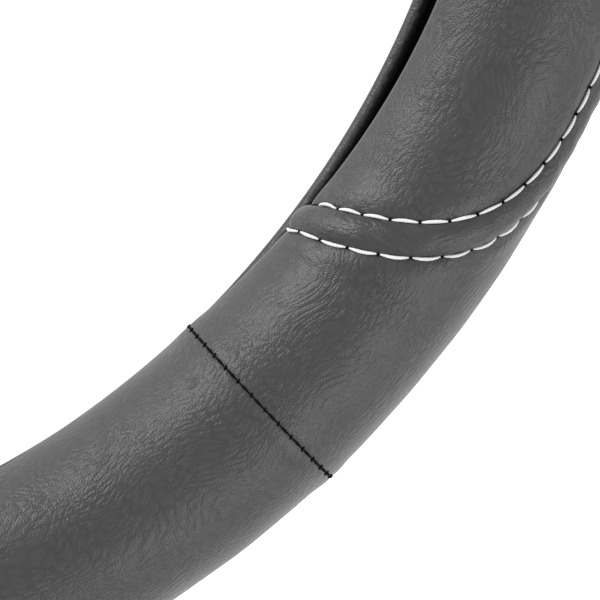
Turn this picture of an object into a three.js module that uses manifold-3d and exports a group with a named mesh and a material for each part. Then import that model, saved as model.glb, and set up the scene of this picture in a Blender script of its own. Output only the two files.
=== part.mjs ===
// Slip-on steering wheel cover: a moulded rubber ring, C-shaped in section, wrapped in sewn
// leather. Plain panels cover the upper and lower quarters. Each side quarter is a grip of three
// pieces: an inlay on the inside, a padded strip and a back panel. The ring lies on its back with
// its front face up, and its hours are those of a clock seen from the front: +Y is 12, +X is 3.
// Millimetres, +Z up. Angles round the ring are named theta, those round the tube phi: 0 faces
// away from the wheel's centre, 90 degrees is the front face and 180 faces the centre.
import * as THREE from "three";
import Module from "manifold-3d";

const wasm = await Module();
wasm.setup();

const degrees = Math.PI / 180;

// Overall size
const ringDiameter = 380; // across the outside of the leather
const tubeDiameter = 35.4; // across one section of the covered ring

// Leather and core
const leatherThickness = 0.8;
const glueGap = 0.3; // between the leather and the rubber
const coreWall = 2.5;
const coreLipWall = 0.6; // the rubber thins out to this at each lip
const coreTaper = 7; // length over which it thins
const hemWidth = 6; // leather that is folded round each lip and glued inside

// Mouth of the C, through which the cover goes onto the rim
const frontLipAtSeam = 197 * degrees; // where the front lip ends at the four cross seams
const frontLipAtMiddle = 157 * degrees; // and in the middle of each quarter
const rearLipAtSeam = 215 * degrees;
const rearLipAtMiddle = 206 * degrees;
const gripOpening = 3.3; // how soon the mouth opens beside a seam, on a grip

// Seams between the quarters
const seamAngle = 45 * degrees; // from the middle of a grip to its cross seams
const seamGap = 0.3;
const seamFold = 4; // width of the turned-under edge beside a cross seam
const seamRise = 0.5; // by which that edge stands proud, except under the ring

// Padded strip of each grip
const stripWidth = 6;
const stripGap = 0.5; // groove beside it, in which its stitches lie
const stripRise = 1; // of its padding above the leather beside it
const stripSeat = 0.1; // of its underside over that leather's
const stripEnd = 35.7 * degrees; // theta where it goes over the lip
const stripCorner = 8 * degrees; // theta where its straight run along the side begins
const stripInside = 205 * degrees; // phi of its hidden end inside the mouth
const stripSide = 28.3 * degrees; // phi of its run along the side
const stripBend = [4.85, 1.38]; // powers of its bend, along theta and phi

// Fineness of the facets
const quarterSteps = 10; // round a quarter, between its two turned-under edges
const facetAngle = 22.5 * degrees; // round the tube
const facetHalf = 4; // from the outer side, regular facets up to the front face and down to the rear
const lipSteps = 4; // from the last of those to the lip
const rollSteps = 3;
const channelSteps = 5;
const stripSteps = 12;
const sideSteps = 4;
const stripColumns = 4;
const cutterColumns = 8;

// Sizes that follow from those above
const tubeRadius = tubeDiameter / 2;
const ringRadius = ringDiameter / 2 - tubeRadius;
const tubeHeight = tubeRadius * Math.cos(facetAngle / 2); // the lowest facets lie flat at z = 0
const wrapRadius = tubeRadius - leatherThickness; // inner face of the leather
const coreRadius = wrapRadius - glueGap;
const lipRadius = coreRadius - coreLipWall / 2; // the lips' middle line
const rollRadius = coreLipWall / 2 + glueGap; // inner radius of the fold round a lip
const lipAllowance = (rollRadius + leatherThickness) / lipRadius; // angle that the fold adds
const regularEnd = (facetHalf + 0.5) * facetAngle;
const hemRadius = coreRadius - coreWall - glueGap - leatherThickness; // inner face of the hems
const cutterReach = stripRise + 2; // by which cutting blocks clear the leather

const leather = new THREE.MeshStandardMaterial({ color: 0x4f4f53, roughness: 0.55, metalness: 0 });
const stripLeather = leather.clone();
stripLeather.color.set(0x5a5a5e);
const rubber = new THREE.MeshStandardMaterial({ color: 0x1b1b1c, roughness: 0.85, metalness: 0 });

const mix = (a, b, share) => a + (b - a) * share;
const smooth = (x) => x * x * (3 - 2 * x);
const clamp = (x) => Math.min(Math.max(x, 0), 1);

/** A point of the section at theta: out from the tube's centre by x, and up by z. */
function place(theta, x, z) {
  const r = ringRadius + x;
  return [r * Math.cos(theta), r * Math.sin(theta), tubeHeight + z];
}

const polar = (theta, phi, r) => place(theta, r * Math.cos(phi), r * Math.sin(phi));

/** The angles round the tube at which the core ends, at its front lip and at its rear lip. */
function lips(theta) {
  const turn = Math.abs(Math.atan2(Math.sin(theta), Math.cos(theta)));
  const fromGrip = Math.min(turn, Math.PI - turn);
  const onGrip = fromGrip < seamAngle;
  const half = onGrip ? seamAngle : Math.PI / 2 - seamAngle;
  const share = clamp(Math.abs(fromGrip - seamAngle) / half);
  const open = onGrip ? 1 - (1 - share) ** gripOpening : smooth(share);
  return {
    front: mix(frontLipAtSeam, frontLipAtMiddle, open) - lipAllowance,
    rear: mix(rearLipAtSeam, rearLipAtMiddle, open) + lipAllowance - 2 * Math.PI,
  };
}

/** The core's wall at a distance from a lip. */
const wallAt = (distance) => mix(coreLipWall, coreWall, smooth(clamp(distance / coreTaper)));

/**
 * A point at a height over the leather's inner face. The face goes round the core from lip to
 * lip, round each lip and back inside as a hem. phi is the angle round the tube, and past a lip
 * it goes on at the same length per degree.
 */
function wrap(theta, phi, height) {
  const { front, rear } = lips(theta);
  const side = phi > 0 ? 1 : -1;
  const lip = side > 0 ? front : rear;
  const past = side * (phi - lip) * wrapRadius;
  if (past <= 0) {
    return polar(theta, phi, wrapRadius + height);
  }
  const bend = past / rollRadius;
  if (bend <= Math.PI) {
    const r = rollRadius + height;
    const direction = lip + side * bend;
    const x = lipRadius * Math.cos(lip) + r * Math.cos(direction);
    const z = lipRadius * Math.sin(lip) + r * Math.sin(direction);
    return place(theta, x, z);
  }
  const back = past - Math.PI * rollRadius;
  const r = coreRadius - wallAt(back) - glueGap - height;
  return polar(theta, lip - (side * back) / lipRadius, r);
}

/** The angles round the tube at which the leather has its edges, from hem to hem. */
function stations(theta) {
  const { front, rear } = lips(theta);
  const roll = (Math.PI * rollRadius) / wrapRadius;
  const hem = hemWidth / wrapRadius;
  const result = [front + roll + hem];
  for (let k = rollSteps; k > 0; k--) {
    result.push(front + (roll * k) / rollSteps);
  }
  for (let k = 0; k < lipSteps; k++) {
    result.push(mix(front, regularEnd, k / lipSteps));
  }
  for (let k = facetHalf + 0.5; k > -facetHalf - 1; k--) {
    result.push(k * facetAngle);
  }
  for (let k = 1; k <= lipSteps; k++) {
    result.push(mix(-regularEnd, rear, k / lipSteps));
  }
  for (let k = 1; k <= rollSteps; k++) {
    result.push(rear - (roll * k) / rollSteps);
  }
  result.push(rear - roll - hem);
  return result;
}

/** The thetas of a quarter's sections, from one cross seam to the next round its middle. */
function sections(middle) {
  const half = Math.abs(Math.sin(middle)) < 0.5 ? seamAngle : Math.PI / 2 - seamAngle;
  const edge = half - seamGap / 2 / ringRadius;
  const inner = edge - seamFold / ringRadius;
  const result = [-edge];
  for (let k = 0; k <= quarterSteps; k++) {
    result.push(mix(-inner, inner, k / quarterSteps));
  }
  result.push(edge);
  return result.map((offset) => middle + offset);
}

/** Geometry from a list of points, quads as four indices each, and triangles as three. */
function geometryOf(points, quads, triangles = []) {
  const geometry = new THREE.BufferGeometry();
  geometry.setAttribute("position", new THREE.Float32BufferAttribute(points.flat(), 3));
  const halves = quads.flatMap(([a, b, c, d]) => [a, b, c, a, c, d]);
  geometry.setIndex([...halves, ...triangles.flat()]);
  return geometry;
}

/** A solid between a lower and an upper grid of points, pointAt(row, column, layer 0 or 1). */
function slab(rows, columns, pointAt) {
  const points = [];
  for (let layer = 0; layer < 2; layer++) {
    for (let i = 0; i < rows; i++) {
      for (let j = 0; j < columns; j++) {
        points.push(pointAt(i, j, layer));
      }
    }
  }
  const at = (i, j, layer) => (layer * rows + i) * columns + j;
  const quads = [];
  for (let i = 0; i + 1 < rows; i++) {
    for (let j = 0; j + 1 < columns; j++) {
      quads.push([at(i, j, 1), at(i, j + 1, 1), at(i + 1, j + 1, 1), at(i + 1, j, 1)]);
      quads.push([at(i, j, 0), at(i + 1, j, 0), at(i + 1, j + 1, 0), at(i, j + 1, 0)]);
    }
    const j = columns - 1;
    quads.push([at(i, 0, 0), at(i, 0, 1), at(i + 1, 0, 1), at(i + 1, 0, 0)]);
    quads.push([at(i, j, 1), at(i, j, 0), at(i + 1, j, 0), at(i + 1, j, 1)]);
  }
  for (let j = 0; j + 1 < columns; j++) {
    const i = rows - 1;
    quads.push([at(0, j, 1), at(0, j, 0), at(0, j + 1, 0), at(0, j + 1, 1)]);
    quads.push([at(i, j, 0), at(i, j, 1), at(i, j + 1, 1), at(i, j + 1, 0)]);
  }
  return geometryOf(points, quads);
}

/** How far a cross seam's edge stands proud at phi: it is pressed flat where the ring lies on it. */
function riseAt(phi) {
  const flat = 1 - Math.cos(facetAngle / 2);
  return seamRise * smooth(clamp(2 * (1 + Math.sin(phi) - flat)));
}

/** The leather of one quarter, as one skin from hem to hem and seam to seam. */
function skin(middle) {
  const thetas = sections(middle);
  const angles = thetas.map(stations);
  return slab(thetas.length, angles[0].length, (i, j, layer) => {
    const phi = angles[i][j];
    const edge = i === 0 || i === thetas.length - 1;
    const height = leatherThickness + (edge ? riseAt(phi) : 0);
    return wrap(thetas[i], phi, layer * height);
  });
}

/** The rubber core of one quarter: a C section, swept from seam to seam and closed at its ends. */
function coreGeometry(middle) {
  const rings = sections(middle).map((theta) => {
    const ring = stations(theta).map((phi) => wrap(theta, phi, -glueGap));
    const { front, rear } = lips(theta);
    const length = (front - rear) * lipRadius;
    const step = (length - 2 * hemWidth) / channelSteps;
    const cornerShare = 1 / Math.cos(step / lipRadius / 2); // puts the facets' middles at the wall
    for (let k = 1; k < channelSteps; k++) {
      const from = hemWidth + k * step;
      const wall = wallAt(Math.min(from, length - from));
      ring.push(polar(theta, rear + from / lipRadius, (coreRadius - wall) * cornerShare));
    }
    return ring;
  });
  const count = rings[0].length;
  const at = (i, j) => i * count + (j % count);
  const quads = rings.slice(1).flatMap((ring, i) =>
    ring.map((_, j) => [at(i, j), at(i, j + 1), at(i + 1, j + 1), at(i + 1, j)]),
  );
  return geometryOf(rings.flat(), quads, [
    ...endFace(rings[0]).map(([a, b, c]) => [c, b, a]),
    ...endFace(rings.at(-1)).map((face) => face.map((j) => at(rings.length - 1, j))),
  ]);
}

/** Triangles that close one section, wound as its points run. */
function endFace(ring) {
  const outline = ring.map(([x, y, z]) => new THREE.Vector2(Math.hypot(x, y), z));
  const faces = THREE.ShapeUtils.triangulateShape(outline, []);
  const same = (face) => THREE.ShapeUtils.area(face.map((j) => outline[j])) < 0;
  return faces.map((face) => (same(face) === same([...ring.keys()]) ? face : face.toReversed()));
}

/** The strip's middle line on one half of a grip, from inside the mouth to its side run. */
function stripLine(share) {
  const turn = (share * Math.PI) / 2;
  const across = Math.max(Math.cos(turn), 0) ** (2 / stripBend[0]);
  const along = Math.sin(turn) ** (2 / stripBend[1]);
  return [mix(stripCorner, stripEnd, across), mix(stripInside, stripSide, along)];
}

/** The share of that line at which it reaches an angle round the tube. */
function shareAt(phi) {
  const along = (stripInside - phi) / (stripInside - stripSide);
  return (Math.asin(along ** (stripBend[1] / 2)) * 2) / Math.PI;
}

/** A point beside that line, by an offset in millimetres, away from the inlay if positive. */
function besideLine(share, offset) {
  const small = 1e-4;
  const [theta, phi] = stripLine(share);
  const before = stripLine(Math.max(share - small, 0));
  const after = stripLine(Math.min(share + small, 1));
  const spin = ringRadius + tubeRadius * Math.cos(phi);
  const dx = (after[0] - before[0]) * spin;
  const dy = (after[1] - before[1]) * tubeRadius;
  const length = Math.hypot(dx, dy);
  return [theta - (dy / length) * (offset / spin), phi + (dx / length) * (offset / tubeRadius)];
}

/** The shares of the strip's line at which its rows lie on the face, clear of its own hem. */
function faceShares() {
  const first = shareAt(lips(stripEnd).front - (hemWidth + leatherThickness) / lipRadius);
  return Array.from({ length: stripSteps + 1 }, (_, k) => mix(first, 1, k / stripSteps));
}

/** Where the strip goes straight over the lip, at an offset from its middle: theta. */
const thetaOverLip = (offset) => besideLine(faceShares()[0], offset)[0];

/** The strip's rows, from its hem over the lip and down the face. Each gives theta and phi. */
function stripRows() {
  const roll = (Math.PI * rollRadius) / wrapRadius;
  const past = [roll + (hemWidth + leatherThickness) / wrapRadius];
  for (let k = rollSteps; k >= 0; k--) {
    past.push((roll * k) / rollSteps);
  }
  past.push(-hemWidth / 2 / wrapRadius);
  const overLip = past.map((angle) => (offset) => {
    const theta = thetaOverLip(offset);
    return [theta, lips(theta).front + angle];
  });
  return [...overLip, ...faceShares().map((share) => (offset) => besideLine(share, offset))];
}

/** A block round all that lies on the inlay's side of the strip, up to an offset from its middle. */
function inlayBlock(offset) {
  const theta = thetaOverLip(offset);
  const edge = [
    [theta, mix(frontLipAtSeam, frontLipAtMiddle, 0.2)],
    ...faceShares().map((share) => besideLine(share, offset)),
  ];
  const radii = [hemRadius - cutterReach, tubeRadius + cutterReach];
  return slab(cutterColumns + 1, edge.length, (i, j, layer) => {
    const across = mix(-1, 1, i / cutterColumns);
    return polar(edge[j][0] * across, edge[j][1], radii[layer]);
  });
}

/** The padded strip, on the core from hem to hem. */
function stripGeometry() {
  const rows = stripRows();
  const lines = [...rows];
  const turned = (row, across) => (offset) => [row(offset)[0] * across, row(offset)[1]];
  for (let i = 1; i < sideSteps; i++) {
    lines.push(turned(rows.at(-1), mix(1, -1, i / sideSteps)));
  }
  for (const row of rows.toReversed()) {
    lines.push(turned(row, -1));
  }
  return slab(lines.length, stripColumns + 1, (i, j, layer) => {
    const across = mix(1, -1, j / stripColumns);
    const [theta, phi] = lines[i]((across * stripWidth) / 2);
    const padding = stripRise * (1 - Math.abs(across) ** 2.5);
    return wrap(theta, phi, layer ? leatherThickness + padding : stripSeat);
  });
}

function solidOf(geometry) {
  const vertProperties = new Float32Array(geometry.attributes.position.array);
  const triVerts = new Uint32Array(geometry.index.array);
  return new wasm.Manifold(new wasm.Mesh({ numProp: 3, vertProperties, triVerts }));
}

function geometryFrom(solid) {
  const mesh = solid.getMesh();
  const geometry = new THREE.BufferGeometry();
  geometry.setAttribute("position", new THREE.BufferAttribute(mesh.vertProperties, 3));
  geometry.setIndex(new THREE.BufferAttribute(mesh.triVerts, 1));
  return geometry;
}

function addPiece(group, name, geometry, material) {
  const mesh = new THREE.Mesh(geometry, material);
  mesh.name = name;
  group.add(mesh);
}

/** The three leather pieces of one grip, about the 3 o'clock direction. */
function gripPieces() {
  const whole = solidOf(skin(0));
  const apart = stripWidth / 2 + stripGap;
  return {
    inlay: geometryFrom(whole.intersect(solidOf(inlayBlock(-apart)))),
    strip: stripGeometry(),
    back_panel: geometryFrom(whole.subtract(solidOf(inlayBlock(apart)))),
  };
}

const cover = new THREE.Group();
for (const [k, side] of ["right", "top", "left", "bottom"].entries()) {
  addPiece(cover, `core_${side}`, coreGeometry((k * Math.PI) / 2), rubber);
}
const grip = gripPieces();
for (const [side, turn] of [["right", 0], ["left", Math.PI]]) {
  const half = new THREE.Group();
  half.rotation.z = turn;
  addPiece(half, `${side}_inlay`, grip.inlay, leather);
  addPiece(half, `${side}_strip`, grip.strip, stripLeather);
  addPiece(half, `${side}_back_panel`, grip.back_panel, leather);
  cover.add(half);
}
const panel = skin(Math.PI / 2);
for (const [side, turn] of [["top", 0], ["bottom", Math.PI]]) {
  const half = new THREE.Group();
  half.rotation.z = turn;
  addPiece(half, `${side}_panel`, panel, leather);
  cover.add(half);
}

export default cover;
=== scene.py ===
"""Slip-on steering wheel cover of dark grey synthetic leather, lying on its back.

A rubber ring, C-shaped in section, is wrapped in sewn leather. Plain panels cover the upper and
lower quarters. Each side quarter is a grip of three pieces: an inlay on the inside, a padded
strip between two rows of white stitches, and a back panel. Black stitches close the seams
between the quarters. Angles round the ring are theta, those round the tube phi, where 0 faces
away from the wheel's centre and 90 degrees is the front face.
"""
import logging
import math
from dataclasses import dataclass
from enum import Enum

import bmesh
import bpy
import numpy as np
from bpy.types import Material, Mesh, Node, NodeOutputs, NodeSocket, NodeTree, Object
from mathutils import Matrix, Vector


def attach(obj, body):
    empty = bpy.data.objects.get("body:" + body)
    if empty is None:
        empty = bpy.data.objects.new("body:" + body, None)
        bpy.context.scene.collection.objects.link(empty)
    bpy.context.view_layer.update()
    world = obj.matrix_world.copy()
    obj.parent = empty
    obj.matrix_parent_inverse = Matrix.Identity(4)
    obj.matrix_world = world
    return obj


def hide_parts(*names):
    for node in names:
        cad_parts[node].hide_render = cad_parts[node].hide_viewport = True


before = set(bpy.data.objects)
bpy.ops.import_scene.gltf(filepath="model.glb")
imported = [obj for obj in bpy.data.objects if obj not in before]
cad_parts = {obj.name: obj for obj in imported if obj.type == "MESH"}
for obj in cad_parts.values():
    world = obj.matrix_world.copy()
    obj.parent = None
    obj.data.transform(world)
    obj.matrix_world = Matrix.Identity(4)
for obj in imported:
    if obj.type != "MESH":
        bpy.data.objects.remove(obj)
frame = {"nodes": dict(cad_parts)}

log = logging.getLogger("cover")
MM = 0.001
FULL_TURN = 2 * math.pi
WHITE = (1.0, 1.0, 1.0, 1.0)
# Distances of the vertices from a cut edge, closer together at its rounding.
BESIDE_SEAM = np.array([0, 0.25, 0.5, 0.8, 1.2, 1.7, 2.3, 3.0, 3.8, 4.7]) * MM
BESIDE_STRIP = np.array([0, 0.3, 0.6, 1.0, 1.5, 2.1, 2.8, 3.6]) * MM


def smooth(x: np.ndarray) -> np.ndarray:
    """An S-curve from 0 to 1 as x goes from 0 to 1."""
    x = np.clip(x, 0.0, 1.0)
    return x * x * (3 - 2 * x)


def mix(a: float, b: float, share: np.ndarray) -> np.ndarray:
    """The value at a share of the way from a to b."""
    return a + (b - a) * share


def bump(x: np.ndarray, width: float) -> np.ndarray:
    """A bell of height 1 round x = 0."""
    return np.exp(-((x / width) ** 2))


def linear(code: str) -> tuple[float, float, float, float]:
    """An sRGB hex colour as linear RGBA.

    Args:
        code: Six hex digits after a #.

    Returns:
        Linear red, green and blue, and an alpha of 1.
    """
    parts = [int(code[k : k + 2], 16) / 255 for k in (1, 3, 5)]
    values = [c / 12.92 if c <= 0.04045 else ((c + 0.055) / 1.055) ** 2.4 for c in parts]
    return (values[0], values[1], values[2], 1.0)


def tinted(colour: tuple[float, ...], factor: float) -> tuple[float, float, float, float]:
    """The same colour made darker or lighter by a factor."""
    return (colour[0] * factor, colour[1] * factor, colour[2] * factor, 1.0)


def unit(vectors: np.ndarray) -> np.ndarray:
    """The same vectors with a length of 1."""
    return vectors / np.linalg.norm(vectors, axis=-1, keepdims=True)


class Nodes:
    """The nodes of one material or world."""

    def __init__(self, tree: NodeTree) -> None:
        """Starts with the tree emptied."""
        self.tree = tree
        tree.nodes.clear()

    def fill(self, node: Node, inputs: dict) -> None:
        """Sets a node's sockets to values, or links other sockets to them."""
        for key, value in inputs.items():
            if isinstance(value, NodeSocket):
                self.tree.links.new(value, node.inputs[key])
            else:
                node.inputs[key].default_value = value

    def add(self, kind: str, inputs: dict | None = None, **settings) -> Node:
        """Adds a node.

        Args:
            kind: The node's type.
            inputs: Values for its sockets, or sockets to link to them.
            **settings: The node's own properties.

        Returns:
            The new node.
        """
        node = self.tree.nodes.new(kind)
        for name, value in settings.items():
            setattr(node, name, value)
        self.fill(node, inputs or {})
        return node

    def calc(self, operation: str, *values) -> NodeSocket:
        """The result of a sum on numbers."""
        return self.add("ShaderNodeMath", dict(enumerate(values)), operation=operation).outputs[0]

    def calc_vector(self, operation: str, *values) -> NodeSocket:
        """The result of a sum on vectors."""
        return self.add("ShaderNodeVectorMath", dict(enumerate(values)), operation=operation).outputs[0]

    def carry(
        self, value: NodeSocket, old=(0.0, 1.0), new=(0.0, 1.0), **settings
    ) -> NodeSocket:
        """A value carried from an old range to a new one."""
        inputs = {"Value": value, "From Min": old[0], "From Max": old[1], "To Min": new[0], "To Max": new[1]}
        return self.add("ShaderNodeMapRange", inputs, **settings).outputs[0]

    def blend(self, share: NodeSocket, low, high) -> NodeSocket:
        """The colour at a share of the way from low to high."""
        return self.add("ShaderNodeMix", {"Factor": share, 6: low, 7: high}, data_type="RGBA").outputs[2]

    def bump(self, height: NodeSocket, strength: float, depth: float) -> NodeSocket:
        """The normal of a surface with that relief."""
        inputs = {"Height": height, "Strength": strength, "Distance": depth}
        return self.add("ShaderNodeBump", inputs).outputs[0]


class MaterialNodes(Nodes):
    """The nodes of a new material, at first only its surface shader."""

    def __init__(self, name: str) -> None:
        """Makes the material, named after the real one."""
        self.material = bpy.data.materials.new(name)
        self.material.use_nodes = True
        super().__init__(self.material.node_tree)
        self.shader = self.add("ShaderNodeBsdfPrincipled")
        self.add("ShaderNodeOutputMaterial", {"Surface": self.shader.outputs[0]})

    def finished(self, inputs: dict) -> Material:
        """Sets or links the shader's sockets and hands the material over."""
        self.fill(self.shader, inputs)
        return self.material


@dataclass(frozen=True)
class CoverForm:
    """The covered ring's section and sweep, with the sizes of its solids."""

    ring_radius: float = 172.3 * MM
    tube_radius: float = 17.7 * MM
    leather: float = 0.8 * MM
    glue_gap: float = 0.3 * MM
    core_wall: float = 2.5 * MM
    lip_wall: float = 0.6 * MM
    taper: float = 7 * MM
    hem: float = 6 * MM
    facet: float = math.radians(22.5)
    front_lip: tuple[float, float] = (math.radians(197), math.radians(157))
    rear_lip: tuple[float, float] = (math.radians(201), math.radians(190))
    lip_zone: float = 2 * MM  # beside each lip, where the leather's relief dies out
    opening: float = 3.3  # how quickly the mouth opens along a grip
    seam: float = math.radians(45)
    seam_gap: float = 0.06 * MM  # the stitches draw the folded edges together
    cut_edge: float = 0.15 * MM  # rounding of the leather's cut edges

    @property
    def height(self) -> float:
        """Height of the tube's middle over the floor."""
        return self.tube_radius * math.cos(self.facet / 2)

    @property
    def wrap_radius(self) -> float:
        """Radius of the leather's inner face."""
        return self.tube_radius - self.leather

    @property
    def core_radius(self) -> float:
        """Outer radius of the rubber."""
        return self.wrap_radius - self.glue_gap

    @property
    def lip_radius(self) -> float:
        """Radius of the middle line of the rubber's lips."""
        return self.core_radius - self.lip_wall / 2

    @property
    def roll(self) -> float:
        """Inner radius of the leather's fold round a lip."""
        return self.lip_wall / 2 + self.glue_gap

    def place(self, theta: np.ndarray, x: np.ndarray, z: np.ndarray) -> np.ndarray:
        """Points of the section at theta, out from the tube's middle by x and up by z."""
        r = self.ring_radius + x
        return np.stack([r * np.cos(theta), r * np.sin(theta), self.height + z], -1)

    def lips(self, theta: np.ndarray) -> tuple[np.ndarray, np.ndarray]:
        """The angles round the tube at which the rubber ends.

        Args:
            theta: Angles round the ring.

        Returns:
            Those of the front lip, and of the rear lip counted downward from 0.
        """
        turn = np.abs(np.arctan2(np.sin(theta), np.cos(theta)))
        from_grip = np.minimum(turn, np.pi - turn)
        share = np.clip(np.abs(from_grip - self.seam) / self.seam, 0, 1)
        open_share = np.where(from_grip < self.seam, 1 - (1 - share) ** self.opening, smooth(share))
        allowance = (self.roll + self.leather) / self.lip_radius
        front = mix(*self.front_lip, open_share) - allowance
        return front, mix(*self.rear_lip, open_share) + allowance - FULL_TURN

    def wall(self, distance: np.ndarray) -> np.ndarray:
        """The rubber's wall at a distance from a lip."""
        return mix(self.lip_wall, self.core_wall, smooth(distance / self.taper))

    def wrap(self, theta: np.ndarray, phi: np.ndarray, height: np.ndarray) -> np.ndarray:
        """Points at a height over the leather's inner face.

        The face goes round the rubber from lip to lip, round each lip and back inside as a hem.

        Args:
            theta: Angles round the ring.
            phi: Angles round the tube, which past a lip go on at the same length per degree.
            height: Heights over the face.

        Returns:
            The points, with x, y and z along the last axis.
        """
        theta, phi, height = np.broadcast_arrays(theta, phi, height)
        front, rear = self.lips(theta)
        side = np.where(phi > 0, 1.0, -1.0)
        lip = np.where(phi > 0, front, rear)
        past = side * (phi - lip) * self.wrap_radius
        bend = past / self.roll
        round_lip = self.roll + height
        direction = lip + side * bend
        back = past - np.pi * self.roll
        inside = self.core_radius - self.wall(back) - self.glue_gap - height
        inside_phi = lip - side * back / self.lip_radius
        face = self.wrap_radius + height
        x = face * np.cos(phi)
        z = face * np.sin(phi)
        on_lip = (past > 0) & (bend <= np.pi)
        x = np.where(on_lip, self.lip_radius * np.cos(lip) + round_lip * np.cos(direction), x)
        z = np.where(on_lip, self.lip_radius * np.sin(lip) + round_lip * np.sin(direction), z)
        x = np.where(bend > np.pi, inside * np.cos(inside_phi), x)
        z = np.where(bend > np.pi, inside * np.sin(inside_phi), z)
        return self.place(theta, x, z)

    def outside(self, theta: np.ndarray, phi: np.ndarray, relief: np.ndarray) -> np.ndarray:
        """Points of the leather's outer face, pressed flat where it lies on the floor."""
        points = self.wrap(theta, phi, self.leather + relief)
        points[..., 2] = np.maximum(points[..., 2], 0.0)
        return points

    def past_lip(self) -> np.ndarray:
        """The angles past a lip at which the leather has its rows, round the fold and along the hem."""
        fold = math.pi * self.roll / self.wrap_radius
        hem = self.hem / self.wrap_radius
        return np.concatenate([np.linspace(0, fold, 7)[1:], fold + np.linspace(0, hem, 6)[1:]])

    def on_face(self, theta: np.ndarray, phi: np.ndarray) -> np.ndarray:
        """1 on the outer face, falling to 0 over the last millimetres before each lip."""
        front, rear = self.lips(theta)
        to_front = smooth((front - phi) * self.tube_radius / self.lip_zone)
        return to_front * smooth((phi - rear) * self.tube_radius / self.lip_zone)

    def hide(self, theta: np.ndarray, phi: np.ndarray) -> np.ndarray:
        """Places on the flat hide that the pieces are cut from, in metres."""
        return np.stack([theta * self.ring_radius, phi * self.tube_radius], -1)

    def lengths(self, theta: np.ndarray, phi: np.ndarray) -> np.ndarray:
        """The length of a line on the leather up to each of its places."""
        steps = np.diff(self.wrap(theta, phi, self.leather), axis=0)
        return np.concatenate([[0], np.cumsum(np.linalg.norm(steps, axis=1))])


@dataclass(frozen=True)
class RowLine:
    """Where a row of white stitches runs beside the padded strip."""

    offset: float  # from the strip's middle, away from the inlay
    count: int
    overrun: float  # by which the row goes past each lip


@dataclass(frozen=True)
class StripPath:
    """The line of a grip's padded strip, from lip to lip across the front and the side."""

    form: CoverForm
    width: float = 6 * MM
    groove: float = 0.14 * MM  # the rows draw the leather up to the strip
    end: float = math.radians(35.7)
    corner: float = math.radians(8)
    inside: float = math.radians(205)
    side: float = math.radians(28.3)
    bend: tuple[float, float] = (4.85, 1.38)
    flare: float = 1.9 * MM  # how far its last few millimetres lean away from the inlay
    flare_curve: float = 1.3
    samples: tuple[int, int, int, int] = (30, 80, 1500, 100)  # past the lip, at it, on the curve, on the side

    def line(self, share: np.ndarray) -> tuple[np.ndarray, np.ndarray]:
        """Theta and phi of the strip's middle, from inside the mouth to its side run."""
        turn = share * math.pi / 2
        across = np.maximum(np.cos(turn), 0) ** (2 / self.bend[0])
        along = np.sin(turn) ** (2 / self.bend[1])
        return mix(self.corner, self.end, across), mix(self.inside, self.side, along)

    def beside(self, share: np.ndarray, offset: float) -> tuple[np.ndarray, np.ndarray]:
        """Theta and phi beside that line, away from the inlay where the offset is positive."""
        theta, phi = self.line(share)
        before = self.line(np.maximum(share - 1e-4, 0))
        after = self.line(np.minimum(share + 1e-4, 1))
        spin = self.form.ring_radius + self.form.tube_radius * np.cos(phi)
        dx = (after[0] - before[0]) * spin
        dy = (after[1] - before[1]) * self.form.tube_radius
        length = np.hypot(dx, dy)
        return (
            theta - dy / length * offset / spin,
            phi + dx / length * offset / self.form.tube_radius,
        )

    def first(self) -> float:
        """The share of the line at which the strip has come over the lip onto the face."""
        form = self.form
        hem = (form.hem + form.leather) / form.lip_radius
        phi = form.lips(np.array(self.end))[0] - hem
        along = (self.inside - phi) / (self.inside - self.side)
        return float(np.arcsin(along ** (self.bend[1] / 2)) * 2 / math.pi)

    def half(self, offset: float, spacing: float) -> tuple[np.ndarray, np.ndarray]:
        """Evenly spaced places along one half, from the lip down the face to the side run.

        Args:
            offset: Distance beside the strip's middle line.
            spacing: Distance between the places.

        Returns:
            Theta and phi of each place. The last lies where the straight side run begins.
        """
        theta, phi = self.beside(np.linspace(self.first(), 1, self.samples[2]), offset)
        lip = float(self.form.lips(theta[0])[0])
        before = np.linspace(1, 0, self.samples[1], endpoint=False)
        lean = self.flare / (self.form.ring_radius - self.form.tube_radius) * before**self.flare_curve
        theta = np.concatenate([theta[0] + lean, theta])
        phi = np.concatenate([mix(phi[0], lip, before), phi])
        return self.spread(theta, phi, spacing)

    def spread(self, theta: np.ndarray, phi: np.ndarray, spacing: float) -> tuple[np.ndarray, np.ndarray]:
        """The same line with its places spread evenly."""
        length = self.form.lengths(theta, phi)
        even = np.linspace(0, length[-1], max(int(length[-1] / spacing), 2) + 1)
        return np.interp(even, length, theta), np.interp(even, length, phi)

    def whole(self, offset: float, over_lip: float, spacing: float) -> tuple[np.ndarray, np.ndarray]:
        """Evenly spaced places from inside one end's lip to inside the other's.

        Args:
            offset: Distance beside the strip's middle line.
            over_lip: Length of line past each lip.
            spacing: Distance between the places.

        Returns:
            Theta and phi of each place.
        """
        theta, phi = self.half(offset, 0.3 * MM)
        past = np.linspace(over_lip / self.form.wrap_radius, 0, self.samples[0], endpoint=False)
        theta = np.concatenate([np.full_like(past, theta[0]), theta])
        phi = np.concatenate([phi[0] + past, phi])
        run = np.linspace(theta[-1], -theta[-1], self.samples[3])[1:-1]
        theta = np.concatenate([theta, run, -theta[::-1]])
        phi = np.concatenate([phi, np.full_like(run, phi[-1]), phi[::-1]])
        return self.spread(theta, phi, spacing)


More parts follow.
